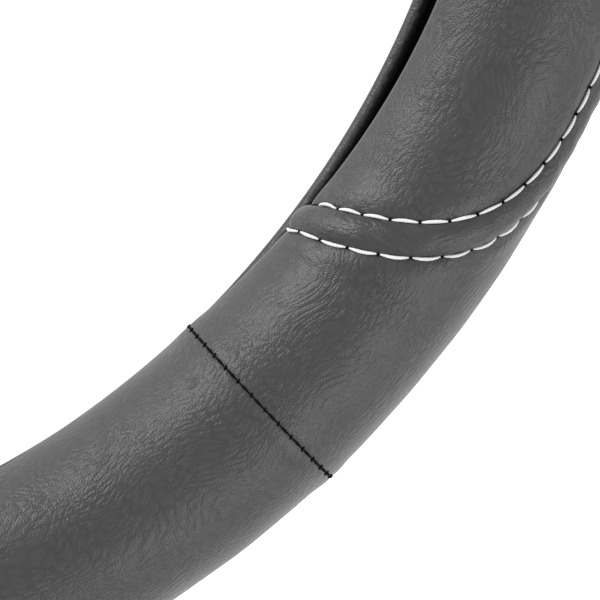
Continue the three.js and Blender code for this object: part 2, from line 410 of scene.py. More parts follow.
@dataclass(frozen=True)
class LaidRow:
    """A row of stitches laid out on the leather."""

    theta: np.ndarray
    phi: np.ndarray
    length: np.ndarray  # along the line up to each place
    start: float  # length before the first hole
    end: float  # length up to the last hole

    @classmethod
    def on(cls, path: StripPath, row: RowLine, spacing: float = 0.1 * MM) -> "LaidRow":
        """Lays a row out beside the strip.

        Args:
            path: The strip's line.
            row: The row.
            spacing: Distance between the places.

        Returns:
            The row's line, which goes 1 mm on past its outermost holes.
        """
        theta, phi = path.whole(row.offset, max(row.overrun, 0.0) + 1 * MM, spacing)
        length = path.form.lengths(theta, phi)
        half = len(phi) // 2
        lip = float(path.form.lips(theta[0])[0])
        start = float(np.interp(-lip, -phi[:half], length[:half])) - row.overrun
        return cls(theta, phi, length, start, float(length[-1]) - start)

    def at(self, where: np.ndarray) -> tuple[np.ndarray, np.ndarray]:
        """Theta and phi at lengths along the line."""
        return np.interp(where, self.length, self.theta), np.interp(where, self.length, self.phi)


def deselect() -> None:
    """Leaves nothing selected, so that an operator acts only on what it is meant for."""
    for obj in bpy.context.selected_objects:
        obj.select_set(False)


def select_only(obj: Object) -> None:
    """Makes one object the only selected and the active one."""
    deselect()
    obj.select_set(True)
    bpy.context.view_layer.objects.active = obj


def coordinates(mesh: Mesh) -> np.ndarray:
    """The mesh's vertices as rows of x, y and z."""
    flat = np.empty(len(mesh.vertices) * 3)
    mesh.vertices.foreach_get("co", flat)
    return flat.reshape(-1, 3)


def shaped_grid(
    name: str, points: np.ndarray, wrap_map: np.ndarray, keep: np.ndarray | None = None
) -> Object:
    """A grid whose vertices are laid on given points.

    Args:
        name: The object's name.
        points: Places, as rows by columns by 3.
        wrap_map: Place of each vertex on the flat hide in metres, as rows by columns by 2.
        keep: Which faces stay, as rows - 1 by columns - 1, or None for all of them.

    Returns:
        The new object.
    """
    rows, columns = points.shape[:2]
    deselect()
    bpy.ops.mesh.primitive_grid_add(x_subdivisions=columns - 1, y_subdivisions=rows - 1, size=2)
    obj = bpy.context.object
    obj.name = name
    mesh = obj.data
    flat = coordinates(mesh)
    column = np.rint((flat[:, 0] + 1) / 2 * (columns - 1)).astype(int)
    row = np.rint((flat[:, 1] + 1) / 2 * (rows - 1)).astype(int)
    mesh.vertices.foreach_set("co", points[row, column].ravel())
    corner = np.empty(len(mesh.loops), dtype=int)
    mesh.loops.foreach_get("vertex_index", corner)
    mesh.uv_layers[0].name = "hide"
    mesh.uv_layers[0].data.foreach_set("uv", wrap_map[row[corner], column[corner]].ravel())
    if keep is not None:
        skin = bmesh.new()
        skin.from_mesh(mesh)
        gone = [
            face
            for face in skin.faces
            if not keep[min(row[v.index] for v in face.verts), min(column[v.index] for v in face.verts)]
        ]
        bmesh.ops.delete(skin, geom=gone, context="FACES")
        skin.to_mesh(mesh)
        skin.free()
    mesh.update()
    return obj


def apply_modifier(obj: Object, kind: str, **settings) -> None:
    """Adds a modifier to an object and applies it."""
    modifier = obj.modifiers.new(kind.title(), kind)
    for name, value in settings.items():
        setattr(modifier, name, value)
    select_only(obj)
    bpy.ops.object.modifier_apply(modifier=modifier.name)


def thicken(obj: Object, thickness: float, edge: float) -> None:
    """Turns an outer face into a skin with slightly rounded cut edges.

    Args:
        obj: The outer face.
        thickness: The skin's thickness, inward.
        edge: Width of the rounding.
    """
    apply_modifier(obj, "SOLIDIFY", thickness=thickness, offset=-1)
    apply_modifier(obj, "BEVEL", width=edge, segments=2, limit_method="ANGLE", angle_limit=math.radians(60))
    select_only(obj)
    bpy.ops.object.shade_smooth_by_angle(angle=math.radians(50))


def turned_copy(obj: Object, name: str, angle: float) -> Object:
    """A copy with a mesh of its own, turned about the ring's axis.

    Args:
        obj: The object to copy.
        name: The copy's name.
        angle: The turn in radians.

    Returns:
        The copy.
    """
    copy = obj.copy()
    copy.data = obj.data.copy()
    copy.name = name
    copy.data.transform(Matrix.Rotation(angle, 4, "Z"))
    bpy.context.collection.objects.link(copy)
    return copy


def face_outward(obj: Object, smooth_angle: float = math.pi, closing: bool = False) -> None:
    """Turns the faces outward and shades them smooth.

    Args:
        obj: A closed mesh, or one to be closed.
        smooth_angle: Edges sharper than this stay sharp.
        closing: Whether its edges are joined and its holes filled first.
    """
    select_only(obj)
    bpy.ops.object.mode_set(mode="EDIT")
    bpy.ops.mesh.select_all(action="SELECT")
    if closing:
        bpy.ops.mesh.remove_doubles(threshold=0.01 * MM)
        bpy.ops.mesh.fill_holes(sides=0)
        bpy.ops.mesh.select_all(action="SELECT")
    bpy.ops.mesh.normals_make_consistent(inside=False)
    bpy.ops.object.mode_set(mode="OBJECT")
    bpy.ops.object.shade_smooth_by_angle(angle=smooth_angle)


def dress(obj: Object, material: Material) -> None:
    """Gives the object one material all over."""
    obj.data.materials.clear()
    obj.data.materials.append(material)


class Tone(Enum):
    """The shades of leather on the cover."""

    PANEL = "#363636"
    STRIP = "#383838"


@dataclass(frozen=True)
class LeatherFinish:
    """Dark grey synthetic leather with a fine pebble grain and creases along the tube."""

    tone: Tone
    name: str
    pebble: float = 0.55  # mm across one pebble of the grain
    pebble_valley: float = 0.42  # half the valley between two, in parts of a pebble
    pebble_depth: float = 0.026  # mm
    pebble_drift: tuple[float, float] = (0.8, 0.3)  # mm: size and reach of what moves them about
    crease: tuple[float, float] = (3.0, 1.1)  # mm along and across one fold of the skin
    crease_valley: float = 0.38
    crease_depth: float = 0.07  # mm
    crease_turn: tuple[float, float] = (22.0, 13.0)  # mm: of what turns the creases this way and that
    crease_waver: tuple[float, float] = (1.3, 0.8)  # mm: of what roughens their lines
    painted_crease_shade: float = 0.7  # painted shade: how much darker the base colour is made in a crease's valley
    patch: float = 7.0  # mm across the places where creases are deep or nearly pressed out
    pressed: float = 0.55  # the share of their depth left there
    cloud: float = 16.0  # mm across a cloud of wear
    wear: float = 0.04  # its change of shade, as a share, and of roughness
    roughness: float = 0.42  # satin, as polyurethane leather is

    def noise(
        self, nodes: Nodes, place: NodeSocket, size: float, detail: float
    ) -> NodeOutputs:
        """Noise of a given size in mm on the flat hide."""
        inputs = {"Vector": place, "Scale": 1 / size, "Detail": detail, "Roughness": 0.55}
        return nodes.add("ShaderNodeTexNoise", inputs, noise_dimensions="2D").outputs

    def shifted(
        self, nodes: Nodes, place: NodeSocket, drift: tuple[float, float]
    ) -> NodeSocket:
        """Places moved about by noise, so that a pattern turns and wanders.

        Args:
            nodes: The material's nodes.
            place: Places in mm.
            drift: Size of the noise and how far it moves them, in mm.

        Returns:
            The moved places.
        """
        size, reach = drift
        noise = self.noise(nodes, place, size, 1.0)["Color"]
        centred = nodes.calc_vector("SUBTRACT", noise, (0.5, 0.5, 0.5))
        return nodes.calc_vector("MULTIPLY_ADD", centred, (reach, reach, reach), place)

    def cells(
        self, nodes: Nodes, place: NodeSocket, size: tuple[float, float], valley: float
    ) -> NodeSocket:
        """Rounded cells between narrow valleys.

        Args:
            nodes: The material's nodes.
            place: Places in mm.
            size: Length and width of a cell in mm.
            valley: Half the valley's width, in parts of a cell.

        Returns:
            A height of 0 in the valleys and 1 on the cells.
        """
        inputs = {
            "Vector": nodes.calc_vector("MULTIPLY", place, (1 / size[0], 1 / size[1], 1.0)),
            "Scale": 1.0,
            "Randomness": 1.0,
        }
        edge = nodes.add(
            "ShaderNodeTexVoronoi", inputs, feature="DISTANCE_TO_EDGE", voronoi_dimensions="2D"
        ).outputs["Distance"]
        return nodes.carry(edge, (0.0, valley), interpolation_type="SMOOTHSTEP")

    def material(self) -> Material:
        """Builds the leather.

        Returns:
            The material, whose grain lies on the flat hide that the pieces are cut from.
        """
        nodes = MaterialNodes(self.name)
        # The hide's map is in metres; the patterns are set out in millimetres.
        hide = nodes.add("ShaderNodeUVMap", uv_map="hide").outputs[0]
        flat = nodes.calc_vector("MULTIPLY", hide, (1 / MM, 1 / MM, 1 / MM))
        turned = self.shifted(nodes, self.shifted(nodes, flat, self.crease_turn), self.crease_waver)
        folds = self.cells(nodes, turned, self.crease, self.crease_valley)
        moved = self.shifted(nodes, flat, self.pebble_drift)
        pebbles = self.cells(nodes, moved, (self.pebble, self.pebble), self.pebble_valley)
        patches = nodes.carry(
            self.noise(nodes, flat, self.patch, 2.0)["Fac"], (0.4, 0.62), (self.pressed, 1.0)
        )
        valley = nodes.calc("MULTIPLY", nodes.calc("SUBTRACT", 1.0, folds), patches)
        grain = nodes.calc("MULTIPLY", pebbles, self.pebble_depth)
        height = nodes.calc("MULTIPLY_ADD", valley, -self.crease_depth, grain)
        cloud = self.noise(nodes, flat, self.cloud, 4.0)["Fac"]
        base = linear(self.tone.value)
        colour = nodes.blend(cloud, tinted(base, 1 - self.wear), tinted(base, 1 + self.wear))
        dull, shiny = self.roughness + self.wear, self.roughness - self.wear
        return nodes.finished(
            {
                # Painted shade: the base colour is darkened in the creases' valleys.
                "Base Color": nodes.blend(valley, colour, tinted(base, self.painted_crease_shade)),
                "Roughness": nodes.carry(cloud, new=(shiny, dull)),
                "Normal": nodes.bump(height, 1.0, MM),
                "IOR": 1.5,
            }
        )


@dataclass(frozen=True)
class RubberFinish:
    """Black moulded rubber with the dull, dusty skin that it leaves the mould with."""

    name: str = "moulded black rubber"
    tone: str = "#1c1c1d"
    roughness: float = 0.8
    skin: float = 0.4  # mm across the mould's fine texture
    skin_depth: float = 0.06  # mm
    dust: float = 11.1  # mm across a patch of dust
    dusty: float = 1.6  # how much lighter the dust makes it

    def material(self) -> Material:
        """Builds the rubber."""
        nodes = MaterialNodes(self.name)
        place = nodes.add("ShaderNodeTexCoord").outputs["Object"]
        skin, dust = (
            nodes.add(
                "ShaderNodeTexNoise", {"Vector": place, "Scale": 1 / (size * MM), "Detail": detail}
            ).outputs["Fac"]
            for size, detail in ((self.skin, 3.0), (self.dust, 4.0))
        )
        base = linear(self.tone)
        return nodes.finished(
            {
                "Base Color": nodes.blend(dust, base, tinted(base, self.dusty)),
                "Normal": nodes.bump(skin, 0.4, self.skin_depth * MM),
                "Roughness": self.roughness,
            }
        )


@dataclass(frozen=True)
class ThreadFinish:
    """Twisted sewing thread: plies wound round each other, with a soft fibre sheen."""

    name: str
    tone: str
    roughness: float = 0.6
    sheen: float = 0.3
    gloss: float = 0.5  # specular level; loose black fibres swallow nearly all of it
    ply: float = 0.5  # mm along the thread from one ply to the next
    ply_depth: float = 0.03  # mm
    painted_ply_shade: float = 0.86  # painted shade: how much darker the colour is made between two plies

    def material(self) -> Material:
        """Builds the thread, whose map runs along it in metres and once round it from 0 to 1."""
        nodes = MaterialNodes(self.name)
        along = nodes.add("ShaderNodeUVMap", uv_map="thread").outputs[0]
        parts = nodes.add("ShaderNodeSeparateXYZ", {0: along}).outputs
        turn = nodes.calc("ADD", nodes.calc("MULTIPLY", parts[0], 1 / (self.ply * MM)), parts[1])
        plies = nodes.calc("SINE", nodes.calc("MULTIPLY", turn, FULL_TURN))
        base = linear(self.tone)
        out_of_valley = nodes.carry(plies, (-1.0, 0.2))
        return nodes.finished(
            {
                # Painted shade: the colour is darker between the plies.
                "Base Color": nodes.blend(out_of_valley, tinted(base, self.painted_ply_shade), base),
                "Normal": nodes.bump(plies, 0.3, self.ply_depth * MM),
                "Roughness": self.roughness,
                "Sheen Weight": self.sheen,
                "Specular IOR Level": self.gloss,
            }
        )


@dataclass(frozen=True)
class Ripple:
    """A rounded ridge along a seam, or a groove where its height is negative."""

    height: float
    width: float
    away: float = 0.0  # from the seam

    def at(self, distance: np.ndarray) -> np.ndarray:
        """Its height at distances from the seam."""
        return self.height * bump(distance - self.away, self.width)


@dataclass(frozen=True)
class HideRelief:
    """The low relief of the leather: its give over the foam, and what the cross seams do to it."""

    form: CoverForm
    sway: float = 0.04 * MM
    # Strength, pace round the ring and round the tube, and phase of each wave.
    waves: tuple[tuple[float, float, float, float], ...] = (
        (1.0, 24.0, 1.1, 0.6),
        (1.0, 42.4, -2.0, 2.1),
        (0.6, 88.0, 3.0, 4.0),
        (0.5, -56.0, 4.0, 1.3),
    )
    seam_rise: float = 0.35 * MM  # of the turned-under edges
    seam_edge: float = 1.2 * MM  # their width
    seam_fall: float = 2.2 * MM
    seam_groove: Ripple = Ripple(-0.16 * MM, 0.4 * MM)
    seam_pinch: Ripple = Ripple(-0.14 * MM, 1.5 * MM)
    seam_in_hem: float = 0.35  # the share of it all that goes on round the lips
    seam_pitch: float = 3.32 * MM
    seam_phase: float = 0.46  # of a pitch, from the front lip to the first hole

    def give(self, theta: np.ndarray, phi: np.ndarray) -> np.ndarray:
        """A slight unevenness, as of leather glued by hand."""
        return self.sway * sum(
            strength * np.sin(round_ring * theta + round_tube * phi + phase)
            for strength, round_ring, round_tube, phase in self.waves
        )

    def cross_seam(self, theta: np.ndarray, phi: np.ndarray, on_face: np.ndarray) -> np.ndarray:
        """The turned-under edges beside a cross seam, with a pinch at each of its stitches.

        Args:
            theta: Angles round the ring from the middle of the piece.
            phi: Angles round the tube.
            on_face: 1 on the outer face, 0 past a lip.

        Returns:
            Heights to add.
        """
        form = self.form
        spin = form.ring_radius + form.tube_radius * np.cos(phi)
        distance = np.abs(np.abs(theta) - form.seam) * spin
        ridge = self.seam_rise * bump(np.maximum(distance - self.seam_edge, 0), self.seam_fall)
        from_lip = (form.lips(np.array(form.seam))[0] - phi) * form.tube_radius
        holes = 0.5 + 0.5 * np.cos((from_lip / self.seam_pitch - self.seam_phase) * FULL_TURN)
        relief = ridge + self.seam_groove.at(distance) + holes * self.seam_pinch.at(distance)
        return relief * mix(self.seam_in_hem, 1.0, on_face)


@dataclass
class SewnLeather:
    """What the leather pieces have in common: the form they lie on and the relief of the hide."""

    form: CoverForm
    relief: HideRelief

    def lay(
        self,
        name: str,
        place: tuple[np.ndarray, np.ndarray],
        sewn: np.ndarray,
        finish: Material,
        keep: np.ndarray | None = None,
    ) -> Object:
        """Lays a skin of leather on the rubber.

        Args:
            name: The object's name.
            place: Theta and phi of its vertices.
            sewn: Heights that its seams add.
            finish: Its leather.
            keep: Which of its faces stay, or None for all of them.

        Returns:
            The piece.
        """
        form = self.form
        relief = self.relief.give(*place) * form.on_face(*place) + sewn
        piece = shaped_grid(name, form.outside(*place, relief), form.hide(*place), keep)
        thicken(piece, form.leather, form.cut_edge)
        dress(piece, finish)
        return piece


@dataclass
class PlainPanel(SewnLeather):
    """The plain leather of the lower and upper quarters, one skin from hem to hem."""

    columns: int = 190
    rows: int = 112

    def thetas(self) -> np.ndarray:
        """Columns from seam to seam, close together beside the seams."""
        edge = self.form.seam - self.form.seam_gap / 2 / self.form.ring_radius
        fine = BESIDE_SEAM / self.form.ring_radius
        inner = edge - fine[-1]
        middle = np.linspace(-inner, inner, self.columns)[1:-1]
        return np.concatenate([-edge + fine, middle, edge - fine[::-1]])

    def build(self, name: str, middle: float, finish: Material) -> Object:
        """Builds one panel.

        Args:
            name: The object's name.
            middle: Theta of its middle.
            finish: Its leather.

        Returns:
            The panel.
        """
        offset = self.thetas()
        front, rear = self.form.lips(middle + offset)
        past = self.form.past_lip()[:, None]
        face = np.linspace(0, 1, self.rows)[:, None]
        phi = np.concatenate([rear - past[::-1], rear + (front - rear) * face, front + past])
        theta = np.broadcast_to(middle + offset, phi.shape)
        seams = self.relief.cross_seam(offset, phi, self.form.on_face(theta, phi))
        return self.lay(name, (theta, phi), seams, finish)


@dataclass
class GripLeather(SewnLeather):
    """The inlay and the back panel of one grip, cut along the padded strip."""

    path: StripPath
    upper_row: RowLine
    lower_row: RowLine
    spacing: float = 1.1 * MM
    inlay_grid: tuple[int, int] = (38, 190)  # rows and columns between the fine ones
    flank_columns: int = 52
    flank_room: float = 1.3  # below this many widths of the fine columns, they are squeezed
    band_rows: int = 50
    edge: Ripple = Ripple(-0.3 * MM, 0.6 * MM)  # turns down to the strip
    swell: Ripple = Ripple(0.22 * MM, 1.6 * MM, 2.8 * MM)
    pull: Ripple = Ripple(-0.18 * MM, 2.0 * MM)  # of each stitch
    row_in_hem: float = 0.4  # the share of all three that goes on round the lip

    def row_relief(self, theta: np.ndarray, phi: np.ndarray, row: RowLine) -> np.ndarray:
        """What the row of stitches beside a piece does to its surface.

        Args:
            theta: Angles round the ring.
            phi: Angles round the tube.
            row: The row beside the piece.

        Returns:
            Heights to add: the edge turns down to the strip, swells just beside it and dips
            at each hole.
        """
        laid = LaidRow.on(self.path, row, 0.5 * MM)
        line = self.form.wrap(laid.theta, laid.phi, self.form.leather)
        ahead = unit(np.gradient(line, axis=0))
        flat = self.form.outside(theta, phi, np.zeros_like(phi)).reshape(-1, 3)
        nearest = np.empty(len(flat))
        where = np.empty(len(flat))
        batch = 4000  # places compared with the whole line at a time
        for low in range(0, len(flat), batch):
            part = flat[low : low + batch]
            closest = np.linalg.norm(part[:, None] - line[None], axis=2).argmin(1)
            away = part - line[closest]
            slid = (away * ahead[closest]).sum(1)
            where[low : low + batch] = laid.length[closest] + slid
            nearest[low : low + batch] = np.linalg.norm(away - slid[:, None] * ahead[closest], axis=1)
        pitch = (laid.end - laid.start) / row.count
        holes = (0.5 + 0.5 * np.cos((where - laid.start) / pitch * FULL_TURN)) ** 2
        height = self.edge.at(nearest) + self.swell.at(nearest) + holes * self.pull.at(nearest)
        return height.reshape(phi.shape) * mix(self.row_in_hem, 1.0, self.form.on_face(theta, phi))

    def turn_at(self, theta: np.ndarray, phi: np.ndarray) -> int:
        """The place on a cut edge at which it stops going round the tube and goes along it."""
        spin = self.form.ring_radius + self.form.tube_radius * np.cos(phi)
        round_tube = np.abs(np.gradient(phi)) * self.form.tube_radius
        return int(np.argmax(np.abs(np.gradient(theta)) * spin > round_tube))

    def low_edge(self, theta: np.ndarray, phi: np.ndarray, turn: int) -> tuple[np.ndarray, np.ndarray]:
        """The part of a cut edge that runs along the tube, from one turn to the other."""
        count = int(2 * theta[-1] * self.form.ring_radius / self.spacing)
        run = np.linspace(theta[-1], -theta[-1], count)[1:-1]
        low_theta = np.concatenate([theta[turn:], run, -theta[turn:][::-1]])[::-1]
        low_phi = np.concatenate([phi[turn:], np.full(len(run), phi[-1]), phi[turn:][::-1]])
        return low_theta, low_phi

    def build_inlay(self, name: str, finish: Material) -> Object:
        """Builds the inlay, a patch spread between its lip, its two flanks and its low edge.

        Args:
            name: The object's name.
            finish: Its leather.

        Returns:
            The inlay.
        """
        edge_theta, edge_phi = self.path.half(-(self.path.width / 2 + self.path.groove), self.spacing)
        turn = self.turn_at(edge_theta, edge_phi)
        low_theta, low_phi = self.low_edge(edge_theta, edge_phi, turn)
        rows, columns = self.inlay_grid
        near = BESIDE_STRIP / (turn * self.spacing)
        up = np.concatenate([near[:-1], np.linspace(near[-1], 1, rows)])
        near = BESIDE_STRIP / (len(low_theta) * self.spacing / 2)
        inner = 1 - near[-1]
        across = np.concatenate([-1 + near[:-1], np.linspace(-inner, inner, columns), 1 - near[-2::-1]])
        even = np.linspace(-1, 1, len(low_theta))
        bottom_theta = np.interp(across, even, low_theta)
        bottom_phi = np.interp(across, even, low_phi)
        flank = np.linspace(0, 1, turn + 1)
        flank_theta = np.interp(up, flank, edge_theta[turn::-1])
        flank_phi = np.interp(up, flank, edge_phi[turn::-1])
        top_theta = across * edge_theta[0]
        top_phi = self.form.lips(top_theta)[0]
        bulge_theta = flank_theta - mix(edge_theta[turn], edge_theta[0], up)
        bulge_phi = flank_phi - mix(edge_phi[turn], edge_phi[0], up)
        up = up[:, None]
        theta = mix(bottom_theta, top_theta, up) + across * bulge_theta[:, None]
        phi = mix(bottom_phi, top_phi, up) + bulge_phi[:, None]
        past = self.form.past_lip()[:, None]
        theta = np.concatenate([theta, np.repeat(top_theta[None], len(past), 0)])
        phi = np.concatenate([phi, top_phi + past])
        return self.lay(name, (theta, phi), self.row_relief(theta, phi, self.upper_row), finish)

    def build_back(self, name: str, finish: Material) -> Object:
        """Builds the back panel: two flanks beside the strip, and the band below it to the rear hem.

        Args:
            name: The object's name.
            finish: Its leather.

        Returns:
            The back panel.
        """
        form = self.form
        edge_theta, edge_phi = self.path.half(self.path.width / 2 + self.path.groove, self.spacing)
        turn = self.turn_at(edge_theta, edge_phi)
        low_theta, low_phi = self.low_edge(edge_theta, edge_phi, turn)
        past = form.past_lip()
        seam = form.seam - form.seam_gap / 2 / form.ring_radius
        beside_strip = BESIDE_STRIP / form.ring_radius
        beside_seam = BESIDE_SEAM / form.ring_radius
        near = BESIDE_STRIP / ((edge_phi[turn] - form.lips(edge_theta[turn])[1]) * form.tube_radius)
        drop = np.concatenate([near[1:-1], np.linspace(near[-1], 1, self.band_rows)])
        upper = len(past) + turn
        lower = len(drop) + len(past) + 1
        # Theta at which each row begins beside the strip, from the front hem down to the rear one.
        start = edge_theta[np.concatenate([[0] * len(past), np.arange(turn), [turn] * lower]).astype(int)]
        room = (seam - start) / (beside_strip[-1] + beside_seam[-1])
        squeeze = np.minimum(room / self.flank_room, 1.0)[:, None]
        low = start[:, None] + beside_strip[-1] * squeeze
        high = seam - beside_seam[-1] * squeeze
        right = np.concatenate(
            [
                start[:, None] + beside_strip * squeeze,
                low + (high - low) * np.linspace(0, 1, self.flank_columns)[1:-1],
                seam - beside_seam[::-1] * squeeze,
            ],
            1,
        )
        middle = np.repeat(low_theta[None, 1:-1], len(start), 0)
        theta = np.concatenate([-right[:, ::-1], middle, right], 1)
        front, rear = form.lips(theta)
        share = ((edge_phi[:turn] - edge_phi[turn]) / (edge_phi[0] - edge_phi[turn]))[:, None]
        above = front[len(past) : upper] - form.lips(edge_theta[:turn])[0][:, None]
        flat = np.full(right.shape[1], edge_phi[turn])
        top = np.concatenate([flat, low_phi[1:-1], flat])
        phi = np.concatenate(
            [
                front[: len(past)] + past[::-1, None],
                edge_phi[:turn, None] + above * share,
                top + (rear[upper] - top) * np.concatenate([[0], drop])[:, None],
                rear[-len(past) :] - past[:, None],
            ]
        )
        keep = np.ones((theta.shape[0] - 1, theta.shape[1] - 1), dtype=bool)
        keep[:upper, right.shape[1] - 1 : right.shape[1] + middle.shape[1]] = False
        theta, phi, keep = theta[::-1], phi[::-1], keep[::-1]
        seams = self.row_relief(theta, phi, self.lower_row)
        seams += self.relief.cross_seam(theta, phi, form.on_face(theta, phi))
        return self.lay(name, (theta, phi), seams, finish, keep)


@dataclass
class PaddedStrip:
    """The narrow padded strip between the two white rows, on the rubber from hem to hem."""

    form: CoverForm
    path: StripPath
    upper_row: RowLine
    lower_row: RowLine
    rise: float = 1.25 * MM
    crown: float = 2.6  # how squarely its top bulges
    tuck: float = 0.15 * MM  # of its edges, into the grooves
    pull: float = 0.12  # of the stitches, as a share of its rise
    flat_end: tuple[float, float] = (4 * MM, 3 * MM)  # past the lip, where it flattens, and over what length
    end_rise: float = 0.3  # the share of the rise left there
    # Height, pace along and pace across of each wave of its unevenness.
    waves: tuple[tuple[float, float, float], ...] = ((0.07 * MM, 90, 0), (0.05 * MM, 231, 2))
    seat: float = 0.1 * MM
    columns: int = 17
    spacing: float = 0.9 * MM
    hide_length: float = 275 * MM
    hide_edge: float = 20 * MM  # where on the hide it is cut

    def build(self, name: str, finish: Material) -> Object:
        """Builds the strip as a closed pad with a crowned top.

        Args:
            name: The object's name.
            finish: Its leather.

        Returns:
            The strip.
        """
        form = self.form
        middle = self.path.whole(0.0, form.hem, self.spacing)
        count = len(middle[0])
        total = form.lengths(*middle)[-1]
        across = np.linspace(1, -1, self.columns)
        half = self.path.width / 2
        lines = []
        for value in across:
            line = self.path.whole(value * half, form.hem, self.spacing / 3)
            old = np.arange(len(line[0]))
            even = np.linspace(0, old[-1], count)
            lines.append([np.interp(even, old, angle) for angle in line])
        theta, phi = np.stack(lines, 2)
        place = np.linspace(0, 1, count)[:, None]
        run = place * total
        pulls = []
        for row in (self.upper_row, self.lower_row):
            past = form.hem - row.overrun
            pulls.append(0.5 + 0.5 * np.cos((run - past) / (total - 2 * past) * row.count * FULL_TURN))
        pull = mix(*pulls, (across + 1) / 2) ** 2
        crown = 1 - np.abs(across) ** self.crown
        sway = sum(size * np.sin(place * along + across * aside) for size, along, aside in self.waves)
        from_lip = np.minimum(run, total - run) - form.hem
        rise = self.rise * mix(self.end_rise, 1.0, smooth((from_lip + self.flat_end[0]) / self.flat_end[1]))
        top = rise * crown * (1 - self.pull * pull) - self.tuck * (1 - crown) + sway * crown
        upper = form.outside(theta, phi, top)
        under = form.outside(theta, phi, np.full_like(phi, self.seat - form.leather))
        points = np.concatenate([upper, under[:, ::-1], upper[:, :1]], 1)
        along = np.broadcast_to(place * self.hide_length, phi.shape)
        width = np.broadcast_to(across * half + self.hide_edge, phi.shape)
        face = np.stack([along, width], -1)
        hide = np.concatenate([face, face[:, ::-1], face[:, :1]], 1)
        strip = shaped_grid(name, points[:, ::-1], hide[:, ::-1])
        face_outward(strip, math.radians(60), closing=True)
        dress(strip, finish)
        return strip


@dataclass
class CoreRing:
    """The moulded rubber ring inside, C-shaped in section."""

    form: CoverForm
    sections: int = 240
    outer: int = 60
    inner: int = 40

    def build(self, name: str, finish: Material) -> Object:
        """Builds the ring from a torus whose every section is laid on the C.

        Args:
            name: The object's name.
            finish: Its rubber.

        Returns:
            The ring.
        """
        form = self.form
        sides = self.outer + self.inner
        deselect()
        bpy.ops.mesh.primitive_torus_add(
            major_segments=self.sections, minor_segments=sides, major_radius=1.0, minor_radius=0.25
        )
        ring = bpy.context.object
        ring.name = name
        mesh = ring.data
        flat = coordinates(mesh)
        theta = np.arctan2(flat[:, 1], flat[:, 0])
        turn = np.arctan2(flat[:, 2], np.hypot(flat[:, 0], flat[:, 1]) - 1.0) % FULL_TURN
        station = np.rint(turn / FULL_TURN * sides).astype(int) % sides
        front, rear = form.lips(theta)
        out_share = station / (self.outer - 1)
        back_share = (station - self.outer + 1) / (self.inner + 1)
        length = (front - rear) * form.lip_radius
        from_front = back_share * length
        wall = form.wall(np.minimum(from_front, length - from_front))
        on_outside = station < self.outer
        phi = np.where(on_outside, mix(rear, front, out_share), mix(front, rear, back_share))
        r = form.core_radius - np.where(on_outside, 0.0, wall)
        points = form.place(theta, r * np.cos(phi), r * np.sin(phi))
        points[:, 2] = np.maximum(points[:, 2], form.leather + form.glue_gap)
        mesh.vertices.foreach_set("co", points.ravel())
        mesh.update()
        face_outward(ring, math.radians(50))
        dress(ring, finish)
        return ring


@dataclass(frozen=True)
class Stitch:
    """One visible stitch: a short arc of thread that comes up at one end and goes down at the other."""

    radius: float
    rise: float
    bow: float = 0.0  # sideways, at its middle
    sink: float = 0.4 * MM  # of its ends in the holes
    steps: int = 8
    sides: int = 6
    taper: float = 0.35  # how much thinner it is at its ends
    arch: float = 0.45  # below 1, the thread turns down late
    fullness: float = 0.6  # below 1, it thins late

    def along(self) -> np.ndarray:
        """The steps from hole to hole, as shares, set close where the thread turns down."""
        even = np.linspace(0, 1, self.steps + 1)
        return 0.5 - 0.5 * np.cos(even * math.pi)


